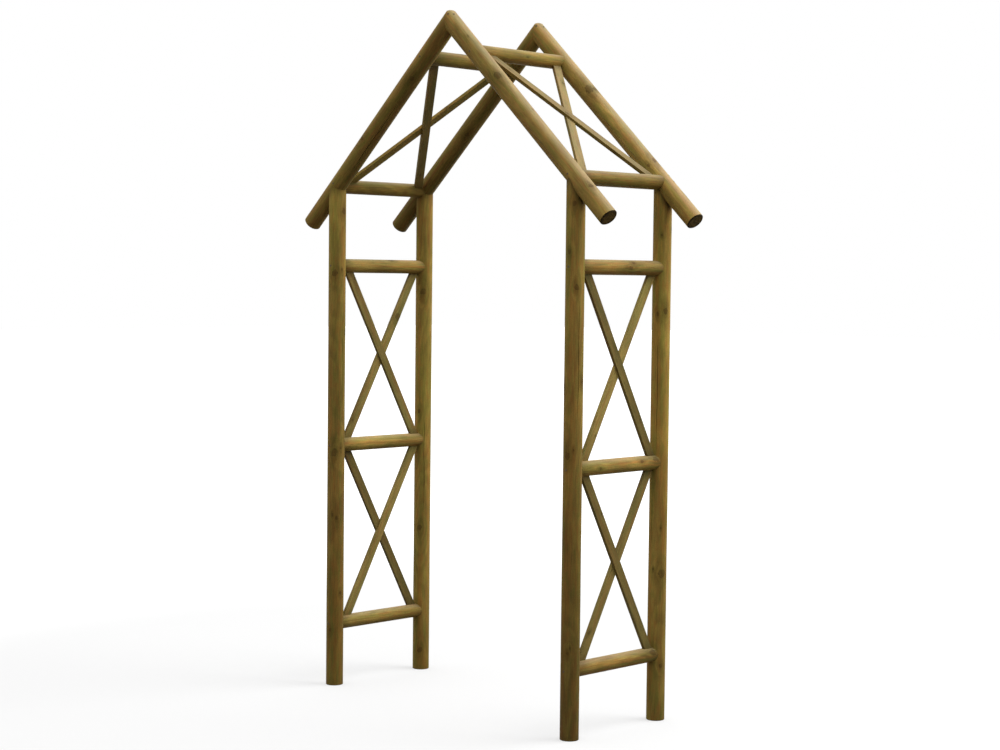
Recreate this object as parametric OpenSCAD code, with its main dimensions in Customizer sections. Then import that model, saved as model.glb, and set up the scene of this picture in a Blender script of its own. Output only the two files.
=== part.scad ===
// Rustic garden arch of machine-rounded softwood poles: two side frames braced with
// crossed laths, and a steep pitched roof of four rafters, braced in the same way.
// +X is to the right seen from the front, +Y runs from front to back, +Z is up.
// The origin is on the ground, midway between the four posts.

/* [Overall] */
// Height of the planed roof tip above the ground
arch_h = 2390; // [2200:1:2600]
// Clear width of the walk-through, post face to post face
walk_w = 1103; // [900:1:1400]
// Clear depth of a side frame, between its front and rear posts
side_clear = 368; // [300:1:480]

/* [Poles] */
// Diameter of the posts
post_d = 62; // [50:0.5:75]
// Diameter of the rafters
rafter_d = 62; // [52:0.5:75]
// Diameter of the rails of the side frames
rail_d = 50; // [40:0.5:58]
// Diameter of the purlins between the rafters
purlin_d = 50; // [40:0.5:60]

/* [Side frames] */
// Height of the lower rail's axis above the ground
lower_rail_z = 225; // [150:1:300]
// Height from the upper rail's axis to the rafter's axis above it, over the post
upper_rail_drop = 285.4; // [220:0.1:360]
// Gap at the rail axis between a brace's centre line and the post
brace_inset = 9; // [4:1:60]

/* [Roof] */
// Slope of the rafters, in degrees from level
roof_pitch = 43; // [38:0.5:48]
// How far a rafter runs on down the slope past the post's middle
eaves_overhang = 193.5; // [80:0.5:260]
// Distance down the rafters from the ridge to the upper purlins
upper_purlin_s = 166; // [120:1:260]
// Gap at the purlin axis between a roof brace's centre line and the rafter
roof_brace_inset = 8; // [4:1:60]
// How much of the sharp mitred tip is planed off
tip_planed = 6; // [1:0.5:14]
// Bevel round the sawn end of a rafter
end_bevel = 3; // [1:0.5:6]

/* [Braces] */
// Width of the lath that each brace is cut from
brace_w = 32; // [24:0.5:38]
// Thickness of that lath
brace_t = 12; // [8:0.5:16]
// Depth of the housing in the outer brace that fits over the inner one
brace_lap = 5; // [1:0.5:6]

/* [Fit] */
// Clearance round a coped joint
joint_gap = 0.3; // [0.1:0.05:0.6]

/* [Hidden] */

$fn = 96;

LEFT = -1;
RIGHT = 1;
FRONT = -1;
REAR = 1;

// A brace that falls to the rear starts at the front, at its upper end.
FALLS_TO_REAR = 1;
FALLS_TO_FRONT = -1;

// Post axes
post_x = walk_w / 2 + post_d / 2;
post_y = side_clear / 2 + post_d / 2;

// Ridge, where the two rafter axes of a pair meet
ridge_z = arch_h + tip_planed - rafter_d / 2 / cos(roof_pitch);

// Point on a rafter's axis straight above a post: the post ends and the eaves purlin sits there
eaves_s = post_x / cos(roof_pitch);
eaves_z = ridge_z - post_x * tan(roof_pitch);

// Length of a rafter along its axis, from the ridge to its square-cut end
rafter_l = eaves_s + eaves_overhang;

// Heights of the rail axes: lower, middle, upper, with two equal bays between them
bay_h = (eaves_z - upper_rail_drop - lower_rail_z) / 2;
rail_z = [for (i = [0:2]) lower_rail_z + i * bay_h];

// Levels of the outward faces of a pair of crossing braces, whose joint is in the frame's middle
outer_face = brace_t - brace_lap / 2;
inner_face = brace_lap / 2;

// Half the spread of the brace ends, on the rail and purlin axes
side_reach = post_y - post_d / 2 - brace_inset;
roof_reach = post_y - rafter_d / 2 - roof_brace_inset;

timber = "#8a7434";
rail_timber = "#94803c";
brace_timber = "#9c8750";

// The two sides are mirror images: its children are drawn for the right-hand side
module on_side(side) {
    mirror([side == LEFT ? 1 : 0, 0, 0])
        children();
}

// Pole of diameter d lying along Y, from the front frame's middle to the rear one's
module cross_pole(d) {
    rotate([90, 0, 0])
        cylinder(h = 2 * post_y, d = d, center = true);
}

// Round cutters for the joints against the right-hand posts
module post_cutters() {
    for (end = [FRONT, REAR])
        translate([post_x, end * post_y, 0])
            cylinder(h = eaves_z, d = post_d + 2 * joint_gap);
}

// Places its children on the right-hand roof slope: the ridge at the origin, +Z down the
// rafter axis, +Y still to the rear
module on_slope() {
    translate([0, 0, ridge_z])
        rotate([0, 90 + roof_pitch, 0])
            children();
}

// Round cutters for the joints against the right-hand rafters
module rafter_cutters() {
    on_slope()
        for (end = [FRONT, REAR])
            translate([0, end * post_y, 0])
                cylinder(h = rafter_l, d = rafter_d + 2 * joint_gap);
}

// Post: sawn foot flat on the ground, top coped round the underside of its rafter
module post(side, end) {
    color(timber)
        on_side(side)
            difference() {
                translate([post_x, end * post_y, 0])
                    cylinder(h = eaves_z, d = post_d);
                rafter_cutters();
            }
}

// Rail: a full-round pole, both ends coped to the posts
module rail(side, z) {
    color(rail_timber)
        on_side(side)
            difference() {
                translate([post_x, 0, z])
                    cross_pole(rail_d);
                post_cutters();
            }
}

// Rafter: mitred on the upright plane at the ridge, tip planed level, eaves end sawn square
module rafter(side, end) {
    radius = rafter_d / 2;
    over_run = rafter_d * tan(roof_pitch);
    color(timber)
        on_side(side)
            intersection() {
                translate([0, end * post_y, 0])
                    on_slope()
                        rotate_extrude()
                            polygon([
                                [0, -over_run],
                                [radius, -over_run],
                                [radius, rafter_l - end_bevel],
                                [radius - end_bevel, rafter_l],
                                [0, rafter_l]
                            ]);
                translate([0, -arch_h, 0])
                    cube([arch_h, 2 * arch_h, arch_h]);
            }
}

// Purlin: a full-round pole between the rafters, s down the slope from the ridge.
// Its ends are coped to the rafters, and at the eaves to the post tops as well.
module purlin(side, s) {
    color(rail_timber)
        on_side(side)
            difference() {
                on_slope()
                    translate([0, 0, s])
                        cross_pole(purlin_d);
                rafter_cutters();
                post_cutters();
            }
}

// Lath across a bay, in the bay's own plane: X outwards, Y to the rear, Z up.
// It runs corner to corner through the origin, with its outward face at X = face.
module lath(bay, reach, falls, face) {
    lean = falls * atan2(2 * reach, bay);
    length = norm([bay, 2 * reach]);
    rotate([lean, 0, 0])
        translate([face - brace_t / 2, 0, 0])
            cube([brace_t, brace_w, length], center = true);
}

// Housing in the outer brace's back, as wide as the inner brace that it fits over
module housing(bay, reach, falls) {
    lean = falls * atan2(2 * reach, bay);
    width = brace_w + 2 * joint_gap;
    rotate([lean, 0, 0])
        translate([inner_face - brace_t, -width / 2, -bay / 2])
            cube([brace_t, width, bay]);
}

// One brace of a crossing pair: the outer one is housed over the inner one
module crossing_brace(bay, reach, falls, outer) {
    difference() {
        lath(bay, reach, falls, outer ? outer_face : inner_face);
        if (outer)
            housing(bay, reach, -falls);
    }
}

// Brace of a side frame, in the bay above rail number below, its ends coped to rails and posts
module side_brace(side, below, falls, outer) {
    color(brace_timber)
        on_side(side)
            difference() {
                translate([post_x, 0, rail_z[below] + bay_h / 2])
                    crossing_brace(bay_h, side_reach, falls, outer);
                for (z = [rail_z[below], rail_z[below + 1]])
                    translate([post_x, 0, z])
                        cross_pole(rail_d + 2 * joint_gap);
                post_cutters();
            }
}

// Brace of a roof slope, between the purlins, its ends coped to purlins and rafters
module roof_brace(side, falls, outer) {
    bay = eaves_s - upper_purlin_s;
    color(brace_timber)
        on_side(side)
            difference() {
                on_slope()
                    translate([0, 0, upper_purlin_s + bay / 2])
                        rotate([0, 180, 0])
                            crossing_brace(bay, roof_reach, falls, outer);
                on_slope()
                    for (s = [upper_purlin_s, eaves_s])
                        translate([0, 0, s])
                            cross_pole(purlin_d + 2 * joint_gap);
                rafter_cutters();
            }
}

post(LEFT, FRONT);  // post_front_left
post(RIGHT, FRONT);  // post_front_right
post(LEFT, REAR);  // post_rear_left
post(RIGHT, REAR);  // post_rear_right
rail(LEFT, rail_z[0]);  // rail_left_lower
rail(LEFT, rail_z[1]);  // rail_left_middle
rail(LEFT, rail_z[2]);  // rail_left_upper
rail(RIGHT, rail_z[0]);  // rail_right_lower
rail(RIGHT, rail_z[1]);  // rail_right_middle
rail(RIGHT, rail_z[2]);  // rail_right_upper
side_brace(LEFT, 0, FALLS_TO_REAR, true);  // brace_left_lower_outer
side_brace(LEFT, 0, FALLS_TO_FRONT, false);  // brace_left_lower_inner
side_brace(LEFT, 1, FALLS_TO_FRONT, true);  // brace_left_upper_outer
side_brace(LEFT, 1, FALLS_TO_REAR, false);  // brace_left_upper_inner
side_brace(RIGHT, 0, FALLS_TO_REAR, true);  // brace_right_lower_outer
side_brace(RIGHT, 0, FALLS_TO_FRONT, false);  // brace_right_lower_inner
side_brace(RIGHT, 1, FALLS_TO_REAR, true);  // brace_right_upper_outer
side_brace(RIGHT, 1, FALLS_TO_FRONT, false);  // brace_right_upper_inner
rafter(LEFT, FRONT);  // rafter_front_left
rafter(RIGHT, FRONT);  // rafter_front_right
rafter(LEFT, REAR);  // rafter_rear_left
rafter(RIGHT, REAR);  // rafter_rear_right
purlin(LEFT, eaves_s);  // purlin_left_eaves
purlin(LEFT, upper_purlin_s);  // purlin_left_upper
purlin(RIGHT, eaves_s);  // purlin_right_eaves
purlin(RIGHT, upper_purlin_s);  // purlin_right_upper
roof_brace(LEFT, FALLS_TO_FRONT, true);  // roof_brace_left_outer
roof_brace(LEFT, FALLS_TO_REAR, false);  // roof_brace_left_inner
roof_brace(RIGHT, FALLS_TO_REAR, true);  // roof_brace_right_outer
roof_brace(RIGHT, FALLS_TO_FRONT, false);  // roof_brace_right_inner
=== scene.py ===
import math
import random

import bmesh
import bpy
import numpy as np
from mathutils import Matrix, Vector


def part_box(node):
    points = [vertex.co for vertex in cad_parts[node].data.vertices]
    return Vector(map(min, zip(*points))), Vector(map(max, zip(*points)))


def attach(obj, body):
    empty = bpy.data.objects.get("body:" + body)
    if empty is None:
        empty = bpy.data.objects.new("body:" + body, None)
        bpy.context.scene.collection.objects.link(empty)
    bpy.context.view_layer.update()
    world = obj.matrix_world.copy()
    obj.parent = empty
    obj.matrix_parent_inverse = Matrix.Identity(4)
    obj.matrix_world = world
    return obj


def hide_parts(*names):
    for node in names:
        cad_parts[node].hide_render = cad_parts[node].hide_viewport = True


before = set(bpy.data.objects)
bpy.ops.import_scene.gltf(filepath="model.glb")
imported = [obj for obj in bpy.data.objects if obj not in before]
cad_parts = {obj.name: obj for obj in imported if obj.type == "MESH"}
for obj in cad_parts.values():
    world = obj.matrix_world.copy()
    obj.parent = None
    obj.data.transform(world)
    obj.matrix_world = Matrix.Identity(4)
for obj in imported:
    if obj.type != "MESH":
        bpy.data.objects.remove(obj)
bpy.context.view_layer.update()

# -------------------------------------------------- Posts
# Four machine-rounded softwood poles, pressure treated to an olive brown. Each stands on
# a square-sawn foot, and its top is scribed round the underside of the rafter it carries.
# Branch knots come in whorls, and drying has opened a few long splits.

# Lengths are in metres. knot_reach is in knot radii, and grain_apart is how far on in the same
# wood the next pole's grain is read, so that no two are alike.
joint_gap = 0.0003
post_columns = 80
row_gap = 0.005
lap_rows = 12
foot_arris = 0.0015
end_rings = (0.82, 0.62, 0.42, 0.22)
turned_from_end = 0.02
# How far from a joint its dirt and painted shade reach.
joint_dirt_and_shade = 0.024
split_width = 0.0022
split_depth = 0.007
split_wander = 0.0009
split_bends = 31
split_offset = 900
split_lips = 0.15
split_begins = 0.0005
split_shown = 0.003
knot_proud = 0.05
knot_reach = 7.0
grain_parts = 0.7
grain_apart = 3.7


def round_outline(radius, columns):
    """Outline of a full-round pole: outwards, sideways, distance round, and the way it faces."""
    turn = np.arange(columns) * 2 * np.pi / columns
    face = np.stack([np.cos(turn), np.sin(turn)], 1)
    return face * radius, turn * radius, face, 2 * np.pi * radius


def scribed_round(point, along, radius, below=None):
    """A cut fitted round another pole, which may reach up only to the height `below`."""
    point, along = np.array(point, float), np.array(along, float)

    def cut(places, way):
        across = way - along * (way @ along)
        offset = places - point
        offset = offset - np.outer(offset @ along, along)
        a, b = across @ across, offset @ across
        inside = b * b - a * ((offset ** 2).sum(1) - (radius + joint_gap) ** 2)
        run = np.where(inside > 0, (-b - np.sqrt(np.maximum(inside, 0))) / max(a, 1e-12), np.inf)
        run = np.where(run > 0, run, np.inf)
        if below is not None:
            meets = places[:, 2] + way[2] * np.where(np.isfinite(run), run, 0)
            run = np.where(meets > below, np.inf, run)
        return run
    return cut


def sawn_flat(point, normal):
    """A straight saw cut."""
    point, normal = np.array(point, float), np.array(normal, float)

    def cut(places, way):
        slope = way @ normal
        run = (point - places) @ normal / (slope if abs(slope) > 1e-9 else 1e-9)
        return np.where(run > 0, run, np.inf)
    return cut


def put_in_scene(name, data):
    """A new object that holds a mesh, a lamp or a camera."""
    made = bpy.data.objects.new(name, data)
    bpy.context.scene.collection.objects.link(made)
    return made


def run_to(places, way, cuts):
    """How far each grain line runs from its place before the first of the cuts."""
    return np.min([cut(places, way) for cut in cuts], axis=0)


def split_open(splits, girth, around, stations, shift, sink):
    """Opens each drying split: one grain line sinks in, and its neighbours close to be the lips."""
    for begin, end, place, width in splits:
        column = int(round(place / around * len(girth))) % len(girth)
        part = np.clip((stations[:, column] - begin) / (end - begin), 0, 1)
        opening = np.sin(np.pi * part) ** 0.5
        wander = split_wander * np.sin(stations[:, column] * split_bends + place * split_offset)
        rows = opening > split_lips
        for step in (-1, 0, 1):
            line = (column + step) % len(girth)
            off = (girth[line] - girth[column] + around / 2) % around - around / 2
            shift[rows, line] = wander[rows] + step * width / 2 * opening[rows] - off
        sink[rows, column] = split_depth * opening[rows]


def work_pole(name, number, foot, head, out, outline, foot_cuts, head_cuts, knots=(), splits=(),
              housing=None, arris=(0, 0), creases=(), tone=(1,), joined=(0.5, 0.5)):
    """One pole as a closed mesh with the grain, knots, ends and splits written on it.

    foot and head are on its axis, out is the way its face looks. Distances along it start at
    the foot; a knot is (distance, degrees round, radius), a split (from, to, degrees, width).
    Creases say how far out the facets of a rounded foot lie, for each distance sideways. Tone
    lists how light the pole is from foot to head, and joined how dark its two joints are made,
    by dirt and by painted shade.
    """
    foot, head, out = (np.array(v, float) for v in (foot, head, out))
    length = np.linalg.norm(head - foot)
    along = (head - foot) / length
    side = np.cross(along, out)
    flat, girth, face, around = outline
    columns = len(girth)
    thickness = np.abs(flat).max()

    def lie(points, stations):
        return foot + points[..., :1] * out + points[..., 1:2] * side + stations[..., None] * along

    def stations_at(points, end):
        places = lie(points, np.full(len(points), length / 2))
        if end:
            return length / 2 + run_to(places, along, head_cuts)
        return length / 2 - run_to(places, -along, foot_cuts)

    def stretch(near, far, rows):
        return near + (far - near) * np.linspace(0, 1, rows)[:, None]

    def shorter_way(distance):
        return (distance + around / 2) % around - around / 2

    low, high = stations_at(flat, 0) + arris[0], stations_at(flat, 1) - arris[1]
    rows = int(length / row_gap)
    if housing is None:
        stations = stretch(low, high, rows)
        points = np.repeat(flat[None], rows, 0)
    else:
        crossing, level, width = housing
        normal = np.cross(out, crossing)
        place = (length / 2 * along) @ normal
        walls = [(place + half - flat[:, 1] * (side @ normal)) / (along @ normal)
                 for half in (-width / 2, width / 2)]
        near, far = np.minimum(*walls), np.maximum(*walls)
        stations = np.concatenate([stretch(low, near, rows // 2), stretch(near, far, lap_rows),
                                   stretch(far, high, rows // 2)])
        points = np.repeat(flat[None], len(stations), 0)
        lapped = slice(rows // 2, rows // 2 + lap_rows)
        points[lapped, :, 0] = np.maximum(points[lapped, :, 0], level)
    rows = len(stations)
    shift, sink = np.zeros((rows, columns)), np.zeros((rows, columns))
    split_open([(a, b, math.radians(turn) * thickness, w) for a, b, turn, w in splits],
               girth, around, stations, shift, sink)
    centres = [(s, math.radians(turn) * thickness % around, r) for s, turn, r in knots]

    def round_knots(reach_along, reach_round):
        for s, g, r in centres:
            beside = shorter_way(girth - g)
            yield r, beside, np.exp(-((stations - s) / (reach_along * r)) ** 2
                                    - (beside / (reach_round * r)) ** 2)

    # Each knot stands a little proud, because it is harder than the wood that was turned away.
    for r, _, near in round_knots(2.2, 1.6):
        sink -= knot_proud * r * near
    tangent = np.stack([-face[:, 1], face[:, 0]], 1)
    unsunk = points + tangent * shift[..., None]
    surface = unsunk - face * sink[..., None]

    # The grain parts and flows round a knot, so it is read from nearer to the knot's middle.
    for _, beside, near in round_knots(3.2, 2.4):
        unsunk = unsunk - tangent * (beside * near * grain_parts)[..., None]
    turned = np.clip(np.minimum(stations - low, high - stations) / turned_from_end, 0, 1)

    # Near its joints the pole darkens: partly dirt and damp, partly painted shade from its
    # neighbours.
    dirt = np.maximum(joined[0] * np.exp(-((stations - low) / joint_dirt_and_shade) ** 2),
                      joined[1] * np.exp(-((high - stations) / joint_dirt_and_shade) ** 2))

    # The side, then at each end rings that close in on the heart.
    corners = [lie(surface, stations).reshape(-1, 3)]
    grain = [np.concatenate([unsunk, stations[..., None]], 2).reshape(-1, 3)]
    j = np.arange(columns)
    k = (j + 1) % columns
    i = np.arange(rows - 1)[:, None] * columns
    faces = np.stack([i + j, i + k, i + columns + k, i + columns + j], 2).reshape(-1, 4).tolist()
    ends = [0.0] * (4 * len(faces))
    heart = flat.mean(0)
    count = rows * columns
    for end in (0, 1):
        way = 1 if end else -1
        rings = [] if end else [(1.0, crease) for crease in creases]
        rings += [(1 - arris[end] / thickness, None)] if arris[end] else []
        rings += [(share, None) for share in end_rings + (0,)]
        outer, outer_share = (rows - 1) * columns * end + j, 1.0
        for share, crease in rings:
            ring = heart + share * (flat - heart) if share else heart[None]
            if crease is not None:
                ring[:, 0] = np.minimum(ring[:, 0], crease(ring[:, 1]))
            at = stations_at(ring, end)
            corners.append(lie(ring, at))
            grain.append(np.column_stack([ring, at]))
            inner = count + np.arange(len(ring))
            if share:
                around_end = np.stack([outer, outer[k], inner[k], inner], 1)
                shares = np.array([outer_share, outer_share, share, share]) + 1
            else:
                around_end = np.stack([outer, outer[k], np.full(columns, inner[0])], 1)
                shares = np.ones(3)
            faces += around_end[:, ::way].tolist()
            ends += ((crease is None) * shares[::way]).tolist() * columns
            outer, outer_share, count = inner, share, count + len(ring)

    # Every face of the side is told where its nearest knot is.
    def at_corners(left, right):
        return np.stack([left[:-1], right[:-1], right[1:], left[1:]], 2)

    s = at_corners(stations, np.roll(stations, -1, 1))
    g = at_corners(girth + shift, np.append(girth[1:], around) + np.roll(shift, -1, 1))
    middle_s, middle_g = s.mean(2), g.mean(2)
    nearest = np.full(middle_s.shape, knot_reach)
    knot = np.zeros(s.shape + (3,))
    for centre_s, centre_g, r in centres:
        beside = shorter_way(middle_g - centre_g)
        apart = np.hypot((middle_s - centre_s) / 2, beside) / r
        closer = apart < nearest
        nearest[closer] = apart[closer]
        knot[closer] = np.stack([s - centre_s, g + (beside - middle_g)[..., None],
                                 np.full(s.shape, r)], 3)[closer]

    mesh = bpy.data.meshes.new(name)
    grain = np.concatenate(grain)
    mesh.from_pydata(np.concatenate(corners).tolist(), [], faces)
    for title, kind, domain, values in (
            ("grain", "FLOAT_VECTOR", "POINT", grain + [0, 0, grain_apart * number]),
            ("knot", "FLOAT_VECTOR", "CORNER", knot),
            ("end", "FLOAT", "CORNER", np.array(ends)),
            ("tone", "FLOAT", "POINT",
             np.interp(grain[:, 2], np.linspace(0, length, len(tone)), tone)),
            ("split", "FLOAT", "POINT", np.clip(sink / split_shown, 0, 1)),
            ("worked", "FLOAT", "POINT", turned * (sink < split_begins)),
            ("dirt", "FLOAT", "POINT", dirt)):
        layer = mesh.attributes.new(title, kind, domain)
        written = np.zeros(len(layer.data) * (3 if "VECTOR" in kind else 1), np.float32)
        written[:values.size] = values.ravel()
        layer.data.foreach_set("vector" if "VECTOR" in kind else "value", written)
    if housing is not None or creases:
        bm = bmesh.new()
        bm.from_mesh(mesh)
        bmesh.ops.remove_doubles(bm, verts=bm.verts, dist=1e-6)
        bm.to_mesh(mesh)
        bm.free()
    return put_in_scene(name, mesh)


def whorls(number, length, spacing, largest, keep_clear=()):
    """Rings of knots where the branches grew, about `spacing` apart, for the sides not listed."""
    chance = random.Random(number)
    found = list(keep_clear)
    scatter, from_end, clear_along, clear_round = 0.014, 0.03, 0.10, 70
    station = chance.uniform(0.3, 0.8) * spacing
    while station < length - from_end:
        turn = chance.uniform(0, 360)
        for _ in range(chance.choice((1, 2, 2, 3))):
            turn += chance.uniform(80, 150)
            s = station + chance.uniform(-scatter, scatter)
            r = largest * chance.uniform(0.35, 1) ** 1.5
            if all(abs(s - a) > clear_along or abs((turn - b + 180) % 360 - 180) > clear_round
                   for a, b, _ in found):
                found.append((s, turn % 360, r))
        station += spacing * chance.uniform(0.75, 1.3)
    return found


# Steps shared by the node trees.
def add(tree, kind, values=None, **settings):
    made = tree.nodes.new(kind)
    for key, value in settings.items():
        setattr(made, key, value)
    for socket, value in (values or {}).items():
        if isinstance(value, bpy.types.NodeSocket):
            tree.links.new(value, made.inputs[socket])
        else:
            made.inputs[socket].default_value = value
    return made


def put(tree, kind, values=None, **settings):
    return add(tree, kind, values, **settings).outputs[0]


def work_out(tree, operation, *values):
    return put(tree, "ShaderNodeMath", dict(enumerate(values)), operation=operation)


def times(tree, first, second):
    return work_out(tree, "MULTIPLY", first, second)


def times_plus(tree, first, second, more):
    return work_out(tree, "MULTIPLY_ADD", first, second, more)


def ease(tree, value, low, high, first=0.0, last=1.0):
    """Follows value smoothly from first at low to last at high."""
    return put(tree, "ShaderNodeMapRange", {"Value": value, "From Min": low, "From Max": high,
                                            "To Min": first, "To Max": last},
               interpolation_type="SMOOTHSTEP")


def mixed(tree, share, first, second, blend="MIX"):
    return add(tree, "ShaderNodeMix", {0: share, 6: first, 7: second},
               data_type="RGBA", blend_type=blend).outputs[2]


def vector_math(tree, operation, values):
    return put(tree, "ShaderNodeVectorMath", values, operation=operation)


def stretched_noise(tree, vector, scale, detail=2.0):
    """Noise drawn out along the grain: scale is cycles to the metre across, across and along."""
    laid = vector_math(tree, "MULTIPLY", {0: vector, 1: scale})
    return put(tree, "ShaderNodeTexNoise", {"Vector": laid, "Scale": 1.0, "Detail": detail})


def new_group(kind, name, inputs, outputs):
    """A node group with named inputs, some with a value of their own, and named outputs."""
    tree = bpy.data.node_groups.new(name, kind)
    for title, socket_kind, *value in inputs:
        socket = tree.interface.new_socket(title, in_out="INPUT",
                                           socket_type="NodeSocket" + socket_kind)
        if value:
            socket.default_value = value[0]
    for title, socket_kind in outputs:
        tree.interface.new_socket(title, in_out="OUTPUT", socket_type="NodeSocket" + socket_kind)
    return tree, tree.nodes.new("NodeGroupInput").outputs, tree.nodes.new("NodeGroupOutput").inputs


def bare_tree(owner):
    """The node tree of a material or world, emptied."""
    owner.use_nodes = True
    owner.node_tree.nodes.clear()
    return owner.node_tree


def colour(hexed):
    """A colour as it is mixed on the palette, turned into the renderer's linear values."""
    parts = [int(hexed[i:i + 2], 16) / 255 for i in (0, 2, 4)]
    return [*(c / 12.92 if c <= 0.04045 else ((c + 0.055) / 1.055) ** 2.4 for c in parts), 1.0]


# Knots: a small dark heart with a ragged edge, and the green stain that trails off round it
# where the salts soaked further in along the grain.
smallest_knot = 0.0005
t, given, gives = new_group(
    "ShaderNodeTree", "branch_knots", [("Grain", "Vector"), ("Knot", "Vector")],
    [("Heart", "Float"), ("Bark", "Float"), ("Stain", "Float"), ("Lift", "Float")])
knot_group = t
at = add(t, "ShaderNodeSeparateXYZ", {0: given["Knot"]}).outputs
present = work_out(t, "GREATER_THAN", at["Z"], smallest_knot)
size = work_out(t, "MAXIMUM", at["Z"], smallest_knot)
lengthwise, crosswise = (work_out(t, "DIVIDE", at[axis], size) for axis in ("X", "Y"))


def knot_oval(squeeze):
    """Distance from the knot's middle in knot radii, drawn out along the grain."""
    along = times(t, times(t, lengthwise, lengthwise), squeeze)
    return work_out(t, "SQRT", times_plus(t, crosswise, crosswise, along))


ragged = stretched_noise(t, given["Grain"], (210, 210, 120), 4)
smeared = stretched_noise(t, given["Grain"], (90, 90, 30), 3)
edge = work_out(t, "ADD", knot_oval(0.6), times_plus(t, ragged, 1.8, -0.9))
bark = times(t, ease(t, edge, 0.55, 0.85), ease(t, edge, 0.85, 1.2, 1, 0))
trail = knot_oval(0.14)
stain = work_out(t, "ADD", trail, times_plus(t, smeared, 3.4, -1.7))
for title, value in (("Heart", ease(t, edge, 0.25, 1.15, 1, 0)), ("Bark", bark),
                     ("Stain", ease(t, stain, 0.3, 3.2, 1, 0)),
                     ("Lift", ease(t, trail, 0.0, 3.4, 1, 0))):
    t.links.new(times(t, value, present), gives[title])

# Growth rings: they close round a pith that wanders, so the turned face cuts them into
# long bands and arches, and a sawn end shows them as circles.
t, given, gives = new_group(
    "ShaderNodeTree", "growth_rings",
    [("Grain", "Vector"), ("Lift", "Float"), ("Ring Gap", "Float", 0.003),
     ("Pith Wander", "Float", 0.012)], [("Late Wood", "Float")])
ring_group = t
at = add(t, "ShaderNodeSeparateXYZ", {0: given["Grain"]}).outputs
pith = add(t, "ShaderNodeTexNoise", {"W": at["Z"], "Scale": 1.7, "Detail": 1.0},
           noise_dimensions="1D").outputs["Color"]
pith = add(t, "ShaderNodeSeparateXYZ", {0: pith}).outputs
across_x, across_y = (
    times_plus(t, times(t, work_out(t, "SUBTRACT", pith[axis], 0.5), given["Pith Wander"]),
               2.0, at[axis]) for axis in ("X", "Y"))
radius = work_out(t, "SQRT", times_plus(t, across_x, across_x, times(t, across_y, across_y)))
uneven = stretched_noise(t, given["Grain"], (34, 34, 3.2), 2)
turns = times_plus(t, uneven, 1.6, work_out(t, "DIVIDE", radius, given["Ring Gap"]))
within = work_out(t, "FRACT", times_plus(t, given["Lift"], 0.9, turns))
t.links.new(times(t, ease(t, within, 0.1, 0.8), ease(t, within, 0.8, 1.0, 1, 0)),
            gives["Late Wood"])

# The whole timber: rings, fibres, the salts' uneven olive and russet tints, knots, grey
# weathering with a painted sky sheen on what looks up, splits darkened as painted shade,
# joints darkened by dirt and painted shade, and the darker, rougher sawn ends.
t, given, gives = new_group(
    "ShaderNodeTree", "treated_softwood",
    [("Grain", "Vector"), ("Knot", "Vector"), ("End", "Float"), ("Split", "Float"), ("Dirt", "Float"),
     ("Tone", "Float", 1.0), ("Early Wood", "Color"), ("Late Wood", "Color"),
     ("Olive", "Color"), ("Russet", "Color"), ("Olive Share", "Float", 0.5),
     ("Russet Share", "Float", 0.5), ("Ring Gap", "Float", 0.003), ("Ring Strength", "Float", 0.5),
     ("Weathering", "Float", 0.25), ("Contrast", "Float", 1.0), ("Streak Scale", "Float", 1.0)],
    [("Color", "Color"), ("Roughness", "Float"), ("Height", "Float")])
timber_group = t
grain = given["Grain"]
heart_seen, bark_seen, stain_seen, lift_seen = add(
    t, "ShaderNodeGroup", {"Grain": grain, "Knot": given["Knot"]},
    node_tree=knot_group).outputs
late = put(t, "ShaderNodeGroup", {"Grain": grain, "Lift": lift_seen,
                                  "Ring Gap": given["Ring Gap"]}, node_tree=ring_group)
fibre = stretched_noise(t, grain, (430, 430, 16), 4)
speck = stretched_noise(t, grain, (620, 620, 260), 2)
drawn = vector_math(t, "SCALE", {0: grain, "Scale": given["Streak Scale"]})
streak = stretched_noise(t, drawn, (95, 95, 2.6), 4)
patch = stretched_noise(t, drawn, (48, 48, 3.4), 3)
cloud = stretched_noise(t, grain, (26, 26, 7), 4)
mottle = stretched_noise(t, grain, (75, 75, 75), 3)
blotch = stretched_noise(t, grain, (66, 66, 24), 3)


def lightened(tone, level):
    level = put(t, "ShaderNodeCombineColor", {part: level for part in range(3)})
    return mixed(t, 1.0, tone, level, "MULTIPLY")


def shaded(tone, mask, low, high, dark, light):
    """Darkens and lightens the tone as the mask goes from low to high."""
    level = ease(t, mask, low, high, dark - 1, light - 1)
    return lightened(tone, times_plus(t, level, given["Contrast"], 1.0))


def stained(tone, mask, strength, stain):
    return mixed(t, times(t, mask, strength), tone, colour(stain))


tone = mixed(t, times(t, late, given["Ring Strength"]), given["Early Wood"], given["Late Wood"])
tone = mixed(t, times(t, ease(t, patch, 0.44, 0.62), given["Olive Share"]), tone, given["Olive"])
tone = mixed(t, times(t, ease(t, streak, 0.47, 0.64), given["Russet Share"]), tone,
             given["Russet"])
tone = mixed(t, ease(t, blotch, 0.5, 0.68, 0, 0.38), tone, given["Olive"])
tone = mixed(t, ease(t, blotch, 0.32, 0.5, 0.34, 0), tone, given["Russet"])
for mask, low, high, dark, light in ((cloud, 0.25, 0.75, 0.78, 1.17), (fibre, 0.3, 0.7, 0.8, 1.14),
                                     (speck, 0.3, 0.7, 0.86, 1.12)):
    tone = shaded(tone, mask, low, high, dark, light)
tone = lightened(tone, given["Tone"])
facing = add(t, "ShaderNodeSeparateXYZ", {0: add(t, "ShaderNodeNewGeometry").outputs["Normal"]})
# Faces that look up turn grey: partly real weathering, partly a painted sheen of sky light.
grey_weathering_and_sheen = times(t, ease(t, facing.outputs["Z"], 0.4, 1.0), given["Weathering"])
# Dirt and painted shade at the joints: the shade of the neighbouring poles is painted in as dark
# colour.
dirt = times(t, given["Dirt"], ease(t, cloud, 0.3, 0.65, 0.55, 1))
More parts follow.
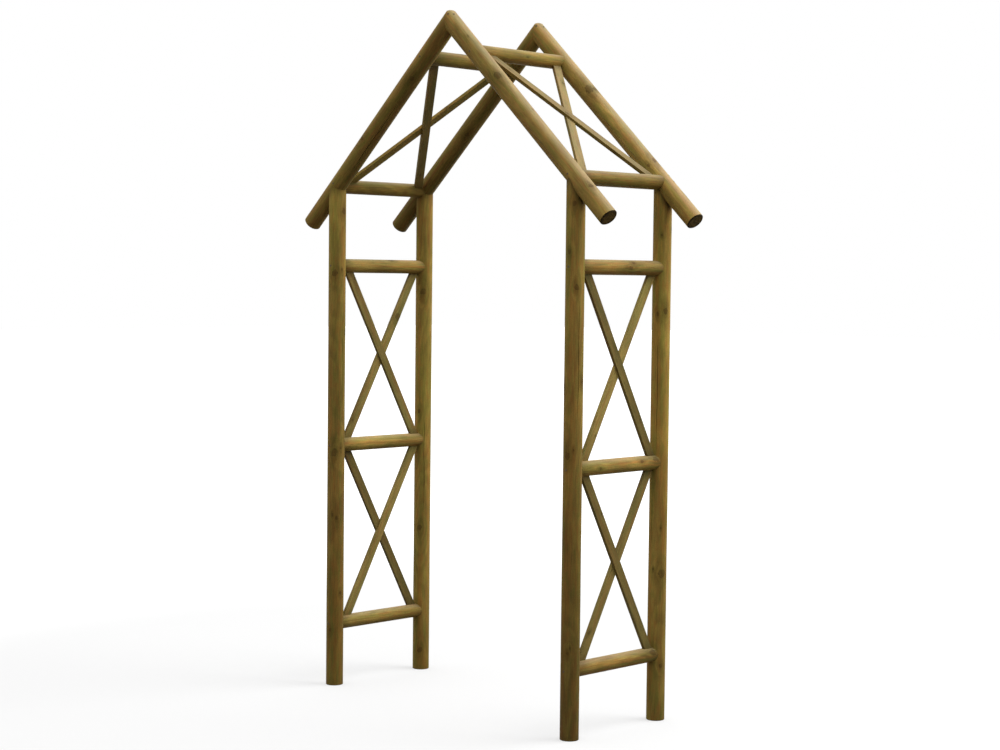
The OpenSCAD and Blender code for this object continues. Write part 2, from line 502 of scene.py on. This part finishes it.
for mask, strength, stain in ((grey_weathering_and_sheen, ease(t, fibre, 0.25, 0.7, 0.6, 1), "a99e86"),
                              (stain_seen, 0.45, "4a4012"), (heart_seen, 0.52, "472a0c"),
                              (bark_seen, 0.42, "2e1f0b"), (dirt, 0.88, "261c08")):
    tone = stained(tone, mask, strength, stain)
sawn = work_out(t, "GREATER_THAN", given["End"], 0.5)
end_tone = shaded(mixed(t, late, colour("6a552a"), colour("3d3014")), mottle, 0.35, 0.65, 0.5, 1.45)
end_tone = stained(end_tone, ease(t, given["End"], 1.66, 1.9),
                   ease(t, mottle, 0.35, 0.6, 0.95, 0.7), "1d1406")
tone = mixed(t, sawn, tone, end_tone)
# The open splits are darkened as painted shade in the cracks.
tone = stained(tone, given["Split"], 0.85, "1a1308")
rough = times_plus(t, sawn, 0.2, times_plus(t, fibre, 0.25, 0.5))
height = times_plus(t, late, 0.25, times(t, fibre, 0.6))
height = times_plus(t, bark_seen, -0.4, times_plus(t, speck, 0.35, height))
for title, value in (("Color", tone), ("Roughness", rough), ("Height", height)):
    t.links.new(value, gives[title])


def timber(name, **looks):
    """A material of treated softwood, with its own values where they aren't the group's."""
    made = bpy.data.materials.new(name)
    tree = bare_tree(made)
    wood = add(tree, "ShaderNodeGroup", node_tree=timber_group)
    for title in ("Grain", "Knot", "End", "Split", "Tone", "Dirt"):
        read = add(tree, "ShaderNodeAttribute", attribute_name=title.lower())
        tree.links.new(read.outputs["Vector" if title in ("Grain", "Knot") else "Fac"],
                       wood.inputs[title])
    for title, value in looks.items():
        value = colour(value) if isinstance(value, str) else value
        wood.inputs[title.replace("_", " ").title()].default_value = value
    bump = put(tree, "ShaderNodeBump", {"Strength": 0.55, "Distance": 0.0009,
                                        "Height": wood.outputs["Height"]})
    shader = put(tree, "ShaderNodeBsdfPrincipled", {
        "Base Color": wood.outputs["Color"], "Roughness": wood.outputs["Roughness"],
        "Normal": bump, "Specular IOR Level": 0.1})
    add(tree, "ShaderNodeOutputMaterial", {"Surface": shader})
    return made


def shape_tree(name, inputs):
    """A Geometry Nodes tree with named inputs, and the sockets it starts from and ends in."""
    tree, given, gives = new_group("GeometryNodeTree", name,
                                   [("Geometry", "Geometry"), *inputs, ("Finish", "Material")],
                                   [("Geometry", "Geometry")])
    tree.is_modifier = True
    return tree, given, gives


def end_tree(tree, geometry, given, gives):
    """Makes what was set in real and gives it its finish."""
    real = put(tree, "GeometryNodeRealizeInstances", {0: geometry})
    done = put(tree, "GeometryNodeSetMaterial", {"Geometry": real, "Material": given["Finish"]})
    tree.links.new(done, gives[0])


def written_on(tree, name, kind):
    return put(tree, "GeometryNodeInputNamedAttribute", {"Name": name}, data_type=kind)


# Turning leaves the surface very slightly wavy. The tree moves it along its normals.
turned_surface, given, gives = shape_tree("turned_surface", [
    ("Depth", "Float", 0.0003), ("Wave Along", "Float", 9.0), ("Wave Across", "Float", 38.0),
    ("Seed", "Float", 1.0)])
t = turned_surface
waves = put(t, "ShaderNodeCombineXYZ", {0: given["Wave Across"], 1: given["Wave Across"],
                                        2: given["Wave Along"]})
laid = vector_math(t, "MULTIPLY", {0: written_on(t, "grain", "FLOAT_VECTOR"), 1: waves})
noise = put(t, "ShaderNodeTexNoise", {"Vector": laid, "W": given["Seed"], "Scale": 1.0,
                                      "Detail": 1.0}, noise_dimensions="4D")
rise = times(t, work_out(t, "SUBTRACT", noise, 0.6),
             times(t, given["Depth"], written_on(t, "worked", "FLOAT")))
offset = vector_math(t, "SCALE", {0: put(t, "GeometryNodeInputNormal"), "Scale": rise})
end_tree(t, put(t, "GeometryNodeSetPosition", {"Geometry": given["Geometry"], "Offset": offset}),
         given, gives)


def run_tree(piece, tree, **sizes):
    """Runs a node tree on a piece with its own sizes and leaves a plain mesh."""
    step = piece.modifiers.new(tree.name, "NODES")
    step.node_group = tree
    sockets = {s.name: s.identifier for s in tree.interface.items_tree if s.in_out == "INPUT"}
    for title, value in sizes.items():
        step[sockets[title.replace("_", " ").title()]] = value
    seen = piece.evaluated_get(bpy.context.evaluated_depsgraph_get())
    plain = bpy.data.meshes.new_from_object(seen)
    piece.modifiers.remove(step)
    old, piece.data = piece.data, plain
    bpy.data.meshes.remove(old)
    plain.name = piece.name


def finish_pole(piece, node, finish, depth=0.0003, seed=1.0):
    """Turns the surface, gives it its timber and puts it in its CAD node's place."""
    run_tree(piece, turned_surface, depth=depth, seed=seed, finish=finish)
    piece.data.shade_smooth()
    piece.data.set_sharp_from_angle(angle=math.radians(36))
    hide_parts(node)
    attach(piece, "root")


# The frame's own pieces say where the poles' axes are.
def upright_axis(node):
    low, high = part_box(node)
    return (low.x + high.x) / 2, (low.y + high.y) / 2, (high.x - low.x) / 2


def level_axis(node):
    low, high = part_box(node)
    return (low.x + high.x) / 2, (low.z + high.z) / 2, (high.z - low.z) / 2


post_x, post_y, post_radius = upright_axis("post_rear_right")
eaves_x, eaves_z, purlin_radius = level_axis("purlin_right_eaves")
upper_x, upper_z, _ = level_axis("purlin_right_upper")
pitch = math.atan2(upper_z - eaves_z, eaves_x - upper_x)
ridge_z = eaves_z + eaves_x * math.tan(pitch)
rafter_low, rafter_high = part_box("rafter_rear_right")
rafter_radius = (rafter_high.y - rafter_low.y) / 2
sides = {"left": -1, "right": 1}
frames = {"front": -1, "rear": 1}


def down_slope(side):
    return np.array([side * math.cos(pitch), 0, -math.sin(pitch)])


def slope_face(side):
    return np.array([side * math.sin(pitch), 0, math.cos(pitch)])


def rafter_cut(side, end):
    return scribed_round((0, end * post_y, ridge_z), down_slope(side), rafter_radius)


post_timber = timber(
    "post_timber", early_wood="8d7538", late_wood="6f572a", olive="6a6729", russet="8d5f2a",
    russet_share=0.45, ring_gap=0.0034, contrast=0.85, streak_scale=0.6)
# Each post's tones from foot to head, the knots that have a set place, and its splits. The tones
# climb towards the head as painted light from above.
posts = {
    "front_left": ((0.93, 0.98, 1.2, 1.8),
                   [(0.203, -75, .005), (0.612, -34, .005), (0.624, -62, .004), (0.850, -52, .011),
                    (0.866, -8, .004), (1.497, -58, .010), (1.512, -6, .004)],
                   [(0.95, 1.36, 6, 0.0018), (0.3, 1.1, 130, split_width)]),
    "front_right": ((0.62, 0.88, 1.33, 1.4),
                    [(0.285, -64, .004), (0.302, -50, .003), (0.922, -84, .009),
                     (0.940, -44, .003), (1.460, -36, .007), (1.573, -85, .005),
                     (1.726, -54, .006)],
                    [(1.02, 1.42, -20, split_width), (0.10, 0.55, 150, split_width)]),
    "rear_left": ((1.2, 1.4, 1.58, 1.4),
                  [(0.076, -50, .008), (0.540, -60, .008), (0.982, -70, .006), (1.433, -48, .010)],
                  [(0.60, 0.95, -30, 0.0018), (1.0, 1.6, 100, split_width)]),
    "rear_right": ((1.2, 1.33, 1.9, 1.6),
                   [(0.500, -23, .012), (0.515, -78, .003), (1.383, -23, .008), (1.372, -72, .005)],
                   [(0.56, 0.82, -94, split_width), (0.95, 1.30, -68, 0.0016),
                    (0.2, 0.9, 60, .002)])}
for number, (place, (tone, set_knots, splits)) in enumerate(posts.items()):
    end, side = frames[place.split("_")[0]], sides[place.split("_")[1]]
    foot = (side * post_x, end * post_y, 0)
    knots = whorls(number, eaves_z, spacing=0.45, largest=0.010, keep_clear=set_knots)
    # A post's head, under its rafter, is darkened by dirt and painted shade, most on the right.
    pole = work_pole(
        place + "_post_pole", number, foot, (foot[0], foot[1], eaves_z - rafter_radius), (1, 0, 0),
        round_outline(post_radius, post_columns), [sawn_flat((0, 0, 0), (0, 0, 1))],
        [rafter_cut(side, end)], knots, splits, arris=(foot_arris, 0), tone=tone,
        joined=(0.2, 1 if side > 0 else 0.5))
    finish_pole(pole, "post_" + place, post_timber, seed=number)

# -------------------------------------------------- Rails
# Three thinner full-round poles to a side, lower, middle and upper, between the front and
# the rear post. Both ends are scribed to the posts and screwed through them.

tie_columns = 64
first_rail = 5
rail_whorl_seed = 20
rail_timber = timber(
    "rail_timber", early_wood="9d8443", late_wood="7f652e", olive="7d7633", russet="9d6c32",
    olive_share=0.6, russet_share=0.6, weathering=0.35, contrast=1.25)
rail_radius = level_axis("rail_right_upper")[2]
post_cuts = {side: [scribed_round((side * post_x, end * post_y, 0), (0, 0, 1), post_radius, eaves_z)
                    for end in (-1, 1)] for side in (-1, 1)}


def tie_pole(kind, place, number, x, z, radius, cuts, whorl_seed, set_knots, tone, finish):
    """A full-round pole from the front frame to the rear one, scribed to both."""
    knots = whorls(whorl_seed, 2 * post_y, spacing=0.3, largest=0.006, keep_clear=set_knots)
    pole = work_pole(place + "_" + kind + "_pole", number, (x, -post_y, z), (x, post_y, z),
                     (1, 0, 0), round_outline(radius, tie_columns), *cuts, knots, tone=(tone,))
    finish_pole(pole, kind + "_" + place, finish, seed=number)


# Each rail's tone and the knots that have a set place.
rails = {
    "right_upper": (1.22, [(0.245, 2, .006), (0.262, -38, .005)]),
    "right_middle": (1.36, [(0.315, -22, .005), (0.388, -30, .009)]),
    "left_upper": (1.08, [(0.255, -60, .005)]), "left_middle": (1.24, []),
    "left_lower": (1.02, []), "right_lower": (1.04, [(0.386, -26, .010)])}
rail_heights = {}
for number, (place, (tone, set_knots)) in enumerate(rails.items()):
    side, level = sides[place.split("_")[0]], place.split("_")[1]
    z = rail_heights[level] = level_axis("rail_" + place)[1]
    tie_pole("rail", place, first_rail + number, side * post_x, z, rail_radius,
             [[cut] for cut in post_cuts[side]], rail_whorl_seed + number, set_knots, tone,
             rail_timber)

# -------------------------------------------------- Side braces
# Two sawn laths cross in each bay, broad face outwards. Their ends are scribed into the corners
# between rail and post, and the outer one is housed out behind to fit over the inner.

brace_width = 0.032
brace_arris = 0.0008
brace_column_gap = 0.0025
brace_inset = 0.009
inner_low, inner_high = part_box("brace_right_lower_inner")
brace_thickness = inner_high.x - inner_low.x
inner_face = inner_high.x - post_x
outer_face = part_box("brace_right_lower_outer")[1].x - post_x
brace_knots = {"brace_left_upper_outer": [(0.529, 164, .010)]}


def sawn_outline(width, thickness):
    """Outline of a sawn lath from the middle of its outward face, with just eased corners."""
    half, back = width / 2, thickness - brace_arris
    corners = np.array([(0, 0), (0, half - brace_arris), (-brace_arris, half), (-back, half),
                        (-thickness, half - brace_arris), (-thickness, brace_arris - half),
                        (-back, -half), (-brace_arris, -half), (0, brace_arris - half), (0, 0)])
    points = []
    for start, stop in zip(corners, corners[1:]):
        parts = max(1, round(float(np.linalg.norm(stop - start)) / brace_column_gap))
        points += [start + (stop - start) * i / parts for i in range(parts)]
    points = np.array(points)
    ahead = np.roll(points, -1, 0) - points
    lengths = np.linalg.norm(ahead, axis=1)
    ahead = ahead / lengths[:, None]
    ahead = ahead + np.roll(ahead, 1, 0)
    ahead = ahead / np.linalg.norm(ahead, axis=1)[:, None]
    girth = np.cumsum(lengths) - lengths
    return points, girth, np.stack([ahead[:, 1], -ahead[:, 0]], 1), lengths.sum()


def crossed_pair(name, first_number, middle, out, up, reach, bay, neighbours, outer_first,
                 finish, tones):
    """Two laths across a bay. The first falls to the rear, the second to the front."""
    out, up, middle = (np.array(v, float) for v in (out, up, middle))
    rises = {falls: up * bay / 2 + np.array([0, -falls * reach, 0]) for falls in (1, -1)}
    lines = {falls: rise / np.linalg.norm(rise) for falls, rise in rises.items()}
    for number, falls, tone in zip((first_number, first_number + 1), lines, tones):
        outer = outer_first if falls == 1 else not outer_first
        centre = middle + out * (outer_face if outer else inner_face)
        housing = None
        if outer:
            housing = lines[-falls], inner_face - outer_face, brace_width + 2 * joint_gap
        node = name + ("_outer" if outer else "_inner")
        knots = whorls(number, 2 * np.linalg.norm(rises[falls]), spacing=0.28, largest=0.0045,
                       keep_clear=brace_knots.get(node, ()))
        brace = work_pole(
            node + "_lath", number, centre - rises[falls], centre + rises[falls], out,
            sawn_outline(brace_width, brace_thickness), neighbours, neighbours, knots,
            housing=housing, tone=(tone,))
        finish_pole(brace, node, finish, depth=0.0002, seed=number)


side_brace_timber = timber(
    "side_brace_timber", early_wood="958348", late_wood="786235", olive="76713a",
    russet="8f6d3a", russet_share=0.6, ring_gap=0.0022)
side_brace_tones = {"left_lower": (0.62, 1.1), "left_upper": (0.88, 1.04),
                    "right_lower": (0.82, 0.98), "right_upper": (0.75, 1.38)}
bay = rail_heights["upper"] - rail_heights["middle"]
side_reach = post_y - post_radius - brace_inset
number = 11
for place, side in sides.items():
    for level, below, above in (("lower", "lower", "middle"), ("upper", "middle", "upper")):
        z = (rail_heights[below] + rail_heights[above]) / 2
        neighbours = post_cuts[side] + [
            scribed_round((side * post_x, 0, rail_heights[rail]), (0, 1, 0), rail_radius)
            for rail in (below, above)]
        crossed_pair("brace_%s_%s" % (place, level), number, (side * post_x, 0, z), (side, 0, 0),
                     (0, 0, 1), side_reach, bay, neighbours, (place, level) != ("left", "upper"),
                     side_brace_timber, side_brace_tones[place + "_" + level])
        number += 2

# -------------------------------------------------- Rafters
# Four poles as stout as the posts. Each pair is mitred together at the ridge and its tip
# rounded over, and the tails run on past the posts to square-sawn, bevelled ends.

rafter_columns = 80
first_rafter = 20
rafter_whorl_seed = 30
tail_bevel = 0.003
rafter_length = (rafter_high.x - (rafter_radius - tail_bevel) * math.sin(pitch)) / math.cos(pitch)
rafter_timber = timber(
    "rafter_timber", early_wood="9b8040", late_wood="7e602c", olive="7c7431", russet="9a6b37",
    olive_share=0.55, russet_share=0.55, ring_gap=0.0036, ring_strength=0.45, weathering=0.8)
# Each rafter's tones from ridge to tail, the knots that have a set place, and its split.
rafters = {
    "front_left": ((1.04, 0.95), [], (0.35, 0.75, 150, split_width)),
    "front_right": ((1.12, 1.1), [(0.318, 48, .011), (0.330, 130, .006)],
                    (0.42, 0.78, 100, 0.0015)),
    # The rear left rafter's tone falls towards its tail as painted shade.
    "rear_left": ((0.9, 0.64), [], (0.5, 0.9, 170, split_width)),
    "rear_right": ((1.24, 1.3), [(0.338, 42, .013), (0.345, 4, .007), (0.718, 5, .009),
                                 (0.728, 62, .005), (0.575, 140, .004), (0.893, -26, .006)],
                   (0.40, 0.70, 95, 0.0015))}
tip_z = rafter_high.z
tip_facets = 4
tip_round = (ridge_z + rafter_radius / math.cos(pitch) - tip_z) / (1 / math.cos(pitch) - 1)
tip_spread = 0.027


def rounded_over(point, radius, spread):
    """A cut that rounds a tip over, `spread` wide along Y: grain lines stop where they leave it."""
    point, squash = np.array(point, float), np.array((1 / radius, 1 / spread, 1 / radius))

    def cut(places, way):
        offset, going = (places - point) * squash, way * squash
        a, b = going @ going, offset @ going
        inside = b * b - a * ((offset ** 2).sum(1) - 1)
        run = (-b + np.sqrt(np.maximum(inside, 0))) / a
        return np.where(inside > -1e-6 * a, run, np.inf)
    return cut


def tip_crease(step):
    """How far out facet number `step` of the rounded tip lies at each distance sideways."""
    reach = tip_round * math.cos(pitch * step / tip_facets)
    return lambda sideways: rafter_radius - tip_round + reach * np.sqrt(
        np.maximum(1 - (sideways / tip_spread) ** 2, 0))


tip_creases = [tip_crease(step) for step in range(1, tip_facets + 1)]
for number, (place, (tone, set_knots, split)) in enumerate(rafters.items()):
    end, side = frames[place.split("_")[0]], sides[place.split("_")[1]]
    ridge = np.array([0, end * post_y, ridge_z])
    tail = ridge + down_slope(side) * rafter_length
    begin, stop, turn, width = split
    knots = whorls(rafter_whorl_seed + number, rafter_length, spacing=0.42, largest=0.007,
                   keep_clear=[(s, round_it * side, r) for s, round_it, r in set_knots])
    rafter = work_pole(
        place + "_rafter_pole", first_rafter + number, ridge, tail, slope_face(side),
        round_outline(rafter_radius, rafter_columns),
        [sawn_flat((0, 0, 0), (1, 0, 0)),
         rounded_over((0, end * post_y, tip_z - tip_round), tip_round, tip_spread)],
        [sawn_flat(tail, down_slope(side))], knots, [(begin, stop, turn * side, width)],
        arris=(0, tail_bevel), creases=tip_creases, tone=tone, joined=(0, 0))
    finish_pole(rafter, "rafter_" + place, rafter_timber, seed=first_rafter + number)

# -------------------------------------------------- Purlins
# Four full-round poles that tie the front rafters to the rear ones: one over the posts on
# each side, and one near the ridge. Their ends are scribed to rafters and post tops.

first_purlin = 24
purlin_whorl_seed = 50
purlin_timber = timber(
    "purlin_timber", early_wood="947c39", late_wood="775b28", olive="736c29", russet="91642d",
    olive_share=0.7, weathering=0.45, contrast=1.15)
purlin_ends = {"eaves": (eaves_x, eaves_z), "upper": (upper_x, upper_z)}
purlin_tones = {"left_eaves": 0.86, "left_upper": 0.85, "right_eaves": 0.97, "right_upper": 1.25}
for number, (place, tone) in enumerate(purlin_tones.items(), first_purlin):
    side, (x, z) = sides[place.split("_")[0]], purlin_ends[place.split("_")[1]]
    cuts = [[rafter_cut(side, end), cut] for end, cut in zip((-1, 1), post_cuts[side])]
    tie_pole("purlin", place, number, side * x, z, purlin_radius, cuts,
             purlin_whorl_seed + number, (), tone, purlin_timber)

# -------------------------------------------------- Roof braces
# The same laths, one pair to a slope between the two purlins, broad face to the sky. Their
# ends are scribed into the corners between purlin and rafter.

roof_brace_inset = 0.008
roof_brace_timber = timber(
    "roof_brace_timber", early_wood="a68c49", late_wood="8a6c34", olive="838039",
    russet="a1773f", olive_share=0.45, ring_gap=0.0022, ring_strength=0.4, weathering=0.35)
roof_brace_tones = {"left": (0.68, 1.05), "right": (0.62, 0.73)}
slope_bay = math.hypot(eaves_x - upper_x, upper_z - eaves_z)
roof_reach = post_y - rafter_radius - roof_brace_inset
number = 28
for place, side in sides.items():
    neighbours = [rafter_cut(side, end) for end in (-1, 1)] + [
        scribed_round((side * x, 0, z), (0, 1, 0), purlin_radius) for x, z in purlin_ends.values()]
    middle = (side * (eaves_x + upper_x) / 2, 0, (eaves_z + upper_z) / 2)
    crossed_pair("roof_brace_" + place, number, middle, slope_face(side), -down_slope(side),
                 roof_reach, slope_bay, neighbours, place == "right",
                 roof_brace_timber, roof_brace_tones[place])
    number += 2

# -------------------------------------------------- Screws
# Small countersunk wood screws with a cross recess, coated brown to go with the timber. They
# hold each rail through its posts, each purlin through its rafters, and the rafters on the
# posts and at the ridge, and are driven until the head is just level with the wood.

head_radius = 0.0036
head_rim = 0.0005
head_depth = 0.0034
head_proud = 0.0004
head_lean = 0.03
recess_length = 0.0023
recess_width = 0.0006
recess_depth = 0.0016
recess_taper = 0.55
shank_radius = 0.0016
shank_depth = 0.008
head_sides = 32

screw_finish = bpy.data.materials.new("brown_coated_steel")
t = bare_tree(screw_finish)
place_on = add(t, "ShaderNodeTexCoord").outputs["Object"]
dulled, grime = (
    put(t, "ShaderNodeTexNoise", {"Vector": place_on, "Scale": scale, "Detail": detail})
    for scale, detail in ((900.0, 3.0), (260.0, 2.0)))
plating = mixed(t, ease(t, dulled, 0.35, 0.65), colour("6b5b3f"), colour("483a24"))
plating = mixed(t, ease(t, grime, 0.45, 0.62, 0, 0.8), plating, colour("352414"))
worn = put(t, "ShaderNodeBump", {"Strength": 0.4, "Distance": 0.0001, "Height": dulled})
steel = put(t, "ShaderNodeBsdfPrincipled", {
    "Base Color": plating, "Metallic": ease(t, grime, 0.4, 0.6, 0.35, 0.0),
    "Roughness": ease(t, dulled, 0.3, 0.7, 0.42, 0.7), "Normal": worn})
add(t, "ShaderNodeOutputMaterial", {"Surface": steel})

# One screw: a flat top with a cross sunk in it, and the cone below running to the shank.
bm = bmesh.new()


def screw_ring(outline, size, z):
    return [bm.verts.new((x * size, y * size, z)) for x, y in outline]


def wall_round(above, below):
    for i in range(len(above)):
        bm.faces.new((above[i - 1], above[i], below[i], below[i - 1]))


turns = np.arange(head_sides) * 2 * math.pi / head_sides
circle = [(math.cos(turn), math.sin(turn)) for turn in turns]
arm = [(recess_length, -recess_width), (recess_length, recess_width), (recess_width, recess_width)]
quarters = [(math.cos(q * math.pi / 2), math.sin(q * math.pi / 2)) for q in range(4)]
cross = [(x * c - y * n, x * n + y * c) for c, n in quarters for x, y in arm]
rim, mouth = screw_ring(circle, head_radius, 0), screw_ring(cross, 1, 0)
edges = [bm.edges.new((ring[i - 1], ring[i])) for ring in (rim, mouth) for i in range(len(ring))]
bmesh.ops.triangle_fill(bm, use_beauty=True, edges=edges)
sunk = screw_ring(cross, recess_taper, -recess_depth)
wall_round(mouth, sunk)
bm.faces.new(sunk)
for r, z in ((head_radius, -head_rim), (shank_radius, -head_depth), (shank_radius, -shank_depth)):
    above, rim = rim, screw_ring(circle, r, z)
    wall_round(above, rim)
bm.faces.new(rim)
bmesh.ops.recalc_face_normals(bm, faces=bm.faces)
head_mesh = bpy.data.meshes.new("screw_head")
bm.to_mesh(head_mesh)
bm.free()
head_pattern = put_in_scene("screw_head", head_mesh)

# The tree sets a screw at each point, facing the way the point says and turned at random.
driven_screws, given, gives = shape_tree("driven_screws", [
    ("Screw", "Object"), ("Proud", "Float", 0.0004), ("Lean", "Float", 0.03), ("Seed", "Int", 1)])
t = driven_screws
facing = written_on(t, "facing", "FLOAT_VECTOR")
raised = put(t, "GeometryNodeSetPosition", {
    "Geometry": given["Geometry"],
    "Offset": vector_math(t, "SCALE", {0: facing, "Scale": given["Proud"]})})
lean = put(t, "FunctionNodeRandomValue", {0: (-1, -1, -1), 1: (1, 1, 1), "Seed": given["Seed"]},
           data_type="FLOAT_VECTOR")
lean = vector_math(t, "SCALE", {0: lean, "Scale": given["Lean"]})
aimed = put(t, "FunctionNodeAlignRotationToVector",
            {"Vector": vector_math(t, "ADD", {0: facing, 1: lean})}, axis="Z")
spin = add(t, "FunctionNodeRandomValue", {2: 0, 3: 6.28, "Seed": given["Seed"]},
           data_type="FLOAT").outputs[1]
turned = put(t, "FunctionNodeRotateRotation",
             {0: aimed, 1: put(t, "ShaderNodeCombineXYZ", {2: spin})}, rotation_space="LOCAL")
screw = add(t, "GeometryNodeObjectInfo", {"Object": given["Screw"]}).outputs["Geometry"]
points = put(t, "GeometryNodeMeshToPoints", {"Mesh": raised})
end_tree(t, put(t, "GeometryNodeInstanceOnPoints", {
    "Points": points, "Instance": screw, "Rotation": turned}), given, gives)

# Where the rafters' screws go, for each (side, end): how far down the slope from the post's
# or the ridge's middle, and how many degrees round the rafter.
ridge_screws = {(1, -1): ((0.002, 17), (-0.008, 48)), (1, 1): ((0.003, 0), (-0.010, 44)),
                (-1, -1): ((0.004, -12), (-0.006, -44)), (-1, 1): ((0.002, -20), (-0.009, -46))}
rafter_screws = {(1, -1): ((-0.006, -25), (0.022, -27)), (1, 1): ((-0.008, -34), (0.026, -22)),
                 (-1, -1): ((-0.005, 4), (0.026, -6)), (-1, 1): ((-0.004, 12), (0.024, -4))}
eaves_run = math.hypot(eaves_x, ridge_z - eaves_z)
upper_run = math.hypot(upper_x, ridge_z - upper_z)
eaves_screw_lift = 0.014
screw_sets = {"rail_screws": [], "purlin_screws": [], "rafter_screws": [], "ridge_screws": []}
for side in (-1, 1):
    down, up = down_slope(side), slope_face(side)
    for end in (-1, 1):
        ridge = np.array([0, end * post_y, ridge_z])
        for z in rail_heights.values():
            screw_sets["rail_screws"].append(
                ((side * post_x, end * (post_y + post_radius), z), (0, end, 0)))
        for run in (eaves_run - eaves_screw_lift, upper_run):
            spot = ridge + down * run + np.array([0, end * rafter_radius, 0])
            screw_sets["purlin_screws"].append((spot, (0, end, 0)))
        for name, start, placed in (("rafter_screws", eaves_run, rafter_screws),
                                    ("ridge_screws", 0, ridge_screws)):
            for run, turn in placed[side, end]:
                turn = math.radians(turn)
                way = up * math.cos(turn) + np.array([0, -math.sin(turn), 0])
                screw_sets[name].append((ridge + down * (start + run) + way * rafter_radius, way))
for seed, (name, screws) in enumerate(screw_sets.items()):
    mesh = bpy.data.meshes.new(name)
    mesh.from_pydata([tuple(spot) for spot, _ in screws], [], [])
    way = mesh.attributes.new("facing", "FLOAT_VECTOR", "POINT")
    way.data.foreach_set("vector", np.array([way for _, way in screws], np.float32).ravel())
    piece = put_in_scene(name, mesh)
    run_tree(piece, driven_screws, screw=head_pattern, proud=head_proud, lean=head_lean,
             seed=seed, finish=screw_finish)
    piece.data.shade_flat()
    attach(piece, "root")
bpy.data.objects.remove(head_pattern)

# -------------------------------------------------- Stage
# A plain pale floor, a broad soft lamp to the rear right, a low, even light all round, and
# the camera, at eye height off the front right corner.

floor_half = 40
floor_reach = 4.0
floor_mesh = bpy.data.meshes.new("floor")
floor_mesh.from_pydata([(x * floor_half, y * floor_half, 0)
                        for x, y in ((-1, -1), (1, -1), (1, 1), (-1, 1))], [], [(0, 1, 2, 3)])
floor = put_in_scene("floor", floor_mesh)


def seen_directly(tree):
    """1 where the camera looks straight or by a reflection, and 0 for light that bounces."""
    seen = add(tree, "ShaderNodeLightPath").outputs
    return work_out(tree, "MAXIMUM", seen["Is Camera Ray"], work_out(
        tree, "MAXIMUM", seen["Is Glossy Ray"], seen["Is Transmission Ray"]))


floor_finish = bpy.data.materials.new("floor_finish")
t = bare_tree(floor_finish)
direct = seen_directly(t)
spot = add(t, "ShaderNodeVectorMath", {0: add(t, "ShaderNodeTexCoord").outputs["Object"]},
           operation="LENGTH").outputs["Value"]
away = ease(t, spot, floor_reach / 2, floor_reach)
lit = put(t, "ShaderNodeBsdfDiffuse", {"Color": mixed(t, direct, (0.06, 0.056, 0.05, 1),
                                                      (0.3, 0.3, 0.3, 1))})
glow = put(t, "ShaderNodeEmission", {"Color": (1, 1, 1, 1), "Strength": times(
    t, direct, times_plus(t, away, 0.5, 0.56))})
add(t, "ShaderNodeOutputMaterial", {"Surface": put(t, "ShaderNodeAddShader", {0: lit, 1: glow})})
floor.data.materials.append(floor_finish)

scene = bpy.context.scene
scene.world = bpy.data.worlds.new("studio")
t = bare_tree(scene.world)
direct = seen_directly(t)
way = add(t, "ShaderNodeSeparateXYZ", {0: add(t, "ShaderNodeTexCoord").outputs["Generated"]})
sky = put(t, "ShaderNodeMapRange", {"Value": way.outputs["Z"], "From Min": 0.0, "From Max": 1.0,
                                    "To Min": 0.0, "To Max": 1.75})
level = put(t, "ShaderNodeMix", {0: direct, 2: sky, 3: 1.0}, data_type="FLOAT")
back = put(t, "ShaderNodeBackground", {"Color": (1, 1, 1, 1), "Strength": level})
add(t, "ShaderNodeOutputWorld", {"Surface": back})

key = bpy.data.lights.new("key", "AREA")
key.shape = "DISK"
key.size = 4.0
key.energy = 215
key_lamp = put_in_scene("key", key)
bearing, climb, distance = math.radians(50), math.radians(42), 5.0
lit_place = Vector((0, 0, 1.3))
toward = Vector((math.cos(bearing) * math.cos(climb), math.sin(bearing) * math.cos(climb),
                 math.sin(climb)))
key_lamp.matrix_world = (Matrix.Translation(lit_place + toward * distance)
                         @ toward.to_track_quat("Z", "Y").to_matrix().to_4x4())
key_lamp.visible_camera = False

camera_place = (4.76946, -4.78724, 1.4842)
yaw, dip, roll = 0.779523, -0.049611, 0.01081
camera = bpy.data.cameras.new("camera")
camera.sensor_width = 36
camera.sensor_fit = "HORIZONTAL"
camera.lens = 69.7536
view = put_in_scene("camera", camera)
ahead = Vector((-math.sin(yaw) * math.cos(dip), math.cos(yaw) * math.cos(dip), math.sin(dip)))
right = Vector((math.cos(yaw), math.sin(yaw), 0))
upward = right.cross(ahead)
right, upward = (right * math.cos(roll) + upward * math.sin(roll),
                 upward * math.cos(roll) - right * math.sin(roll))
turn = Matrix((right, upward, -ahead)).transposed()
view.matrix_world = Matrix.Translation(camera_place) @ turn.to_4x4()
scene.camera = view
scene.view_settings.view_transform = "Standard"
